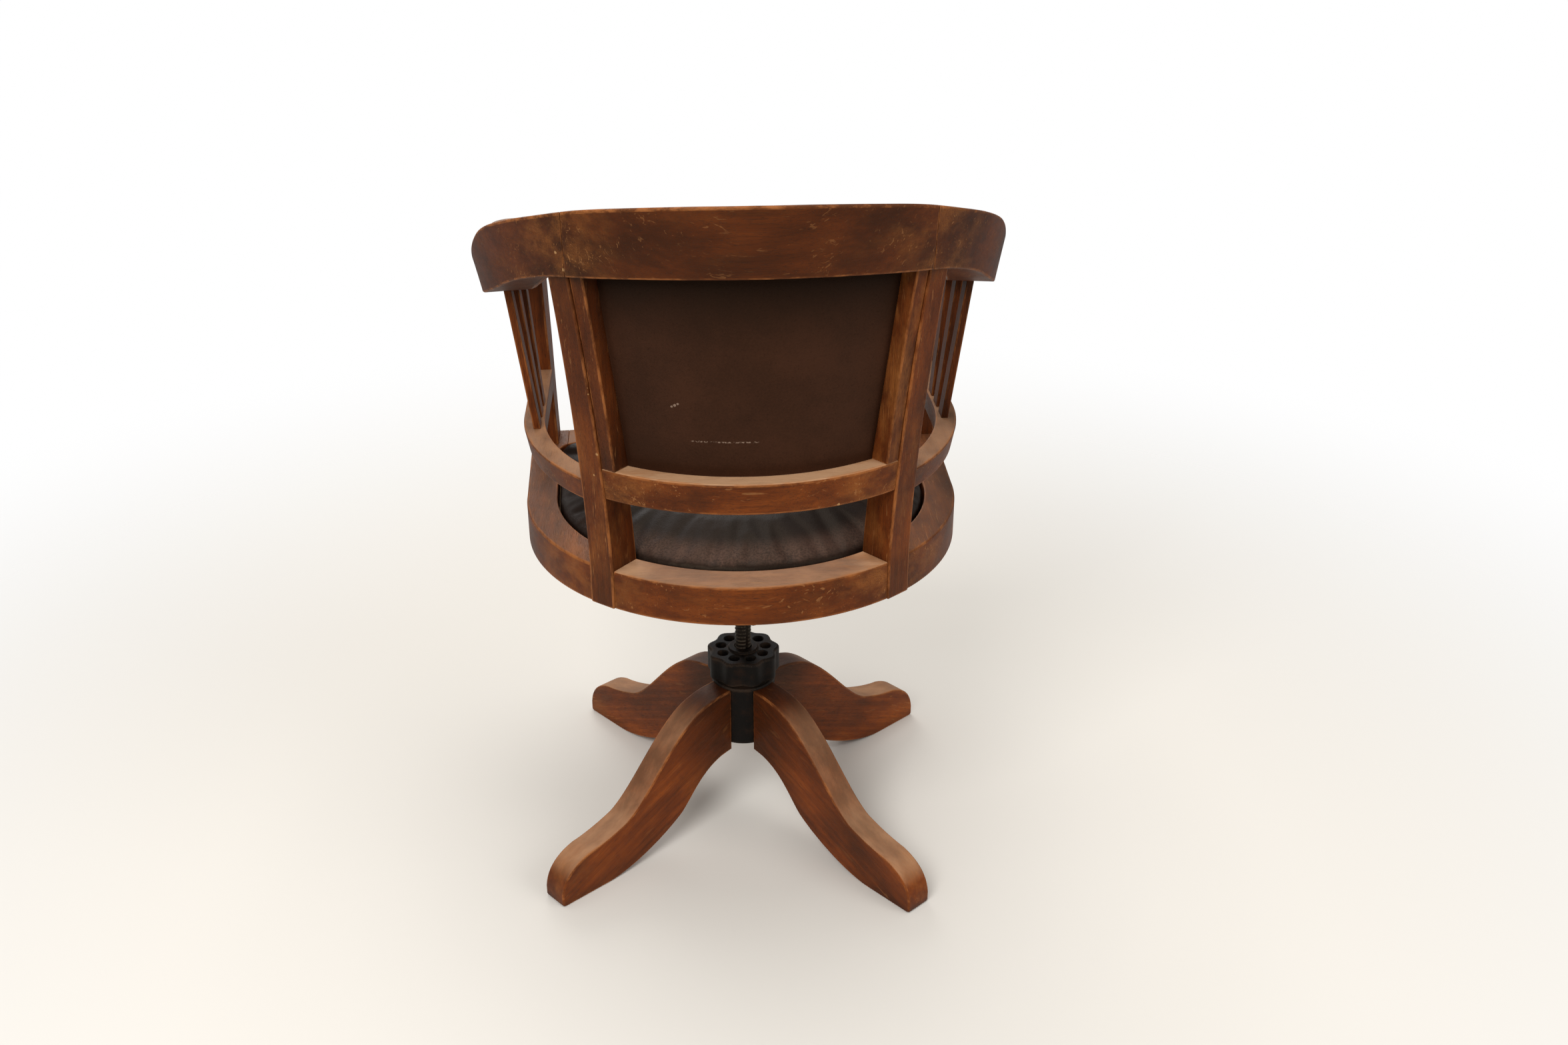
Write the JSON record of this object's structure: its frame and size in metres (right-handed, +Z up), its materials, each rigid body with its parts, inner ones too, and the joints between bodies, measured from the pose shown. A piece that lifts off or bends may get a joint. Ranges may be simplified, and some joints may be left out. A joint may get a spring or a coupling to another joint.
{
  "type": "swivel desk chair",
  "caption": "Bow-backed wooden tub chair with leather seat and back, on a four-legged pedestal with a height screw and hand wheel.",
  "frame": {"origin": "on the floor, under the middle of the chair's footprint box", "axes": "+Z up, -Y the way the sitter faces, +X to the sitter's left"},
  "size_m": [0.5842, 0.5542, 0.859],
  "materials": {
    "timber": "old red-brown stain and varnish, satin, worn pale on the arrises and dusty on upward faces",
    "plain_wood": "unfinished board",
    "leather": "very dark brown, smooth, dull on the back, with a soft sheen on the seat",
    "cast_iron": "black, dull, with a little rust",
    "steel": "dark and oily"
  },
  "bodies": {
    "base": {"leg_rear_left": "timber", "leg_rear_right": "timber", "leg_front_right": "timber", "leg_front_left": "timber", "leg_stud_1_1": "steel", "leg_stud_1_2": "steel", "leg_stud_2_1": "steel", "leg_stud_2_2": "steel", "leg_stud_3_1": "steel", "leg_stud_3_2": "steel", "leg_stud_4_1": "steel", "leg_stud_4_2": "steel", "pedestal_column": "cast_iron", "screw_bush_upper": "steel", "screw_bush_lower": "steel"},
    "swivel": {"thrust_washer": "steel"},
    "hand_wheel": {"hand_wheel": "cast_iron"},
    "seat": {"seat_rail_rear": "timber", "seat_rail_front": "timber", "seat_rail_left": "timber", "seat_rail_right": "timber", "rear_post_left": "timber", "rear_post_right": "timber", "back_stile_left": "timber", "back_stile_right": "timber", "crest_rail": "timber", "arm_left": "timber", "arm_right": "timber", "back_rail_lower": "timber", "side_rail_left": "timber", "side_rail_right": "timber", "arm_post_left": "timber", "arm_post_right": "timber", "arm_slat_left_1": "timber", "arm_slat_right_1": "timber", "arm_slat_left_2": "timber", "arm_slat_right_2": "timber", "arm_slat_left_3": "timber", "arm_slat_right_3": "timber", "seat_board": "plain_wood", "back_board": "plain_wood", "crest_dowel_left": "plain_wood", "crest_dowel_right": "plain_wood", "seat_pad": "leather", "back_pad": "leather", "back_leather_rear": "leather", "seat_spider": "cast_iron", "seat_screw_1": "steel", "seat_screw_2": "steel", "seat_screw_3": "steel", "seat_screw_4": "steel", "height_screw": "steel", "screw_cross_pin": "steel"}
  },
  "joints": [
    {"name": "seat_swivel", "type": "hinge", "parent": "base", "child": "swivel", "pos_m": [0, -0.03286, 0.1873], "axis": [0, 0, 1], "continuous": true},
    {"name": "hand_wheel_turn", "type": "hinge", "parent": "swivel", "child": "hand_wheel", "pos_m": [0, -0.03286, 0.1906], "axis": [0, 0, 1], "range_deg": [-4325, 5045]},
    {"name": "seat_height", "type": "slide", "parent": "swivel", "child": "seat", "axis": [0, 0, 1], "range_m": [-0.07, 0.06]}
  ],
  "couplings": [
    {"joint": "hand_wheel_turn", "follows": "seat_height", "rad_per_m": -1256.6}
  ]
}
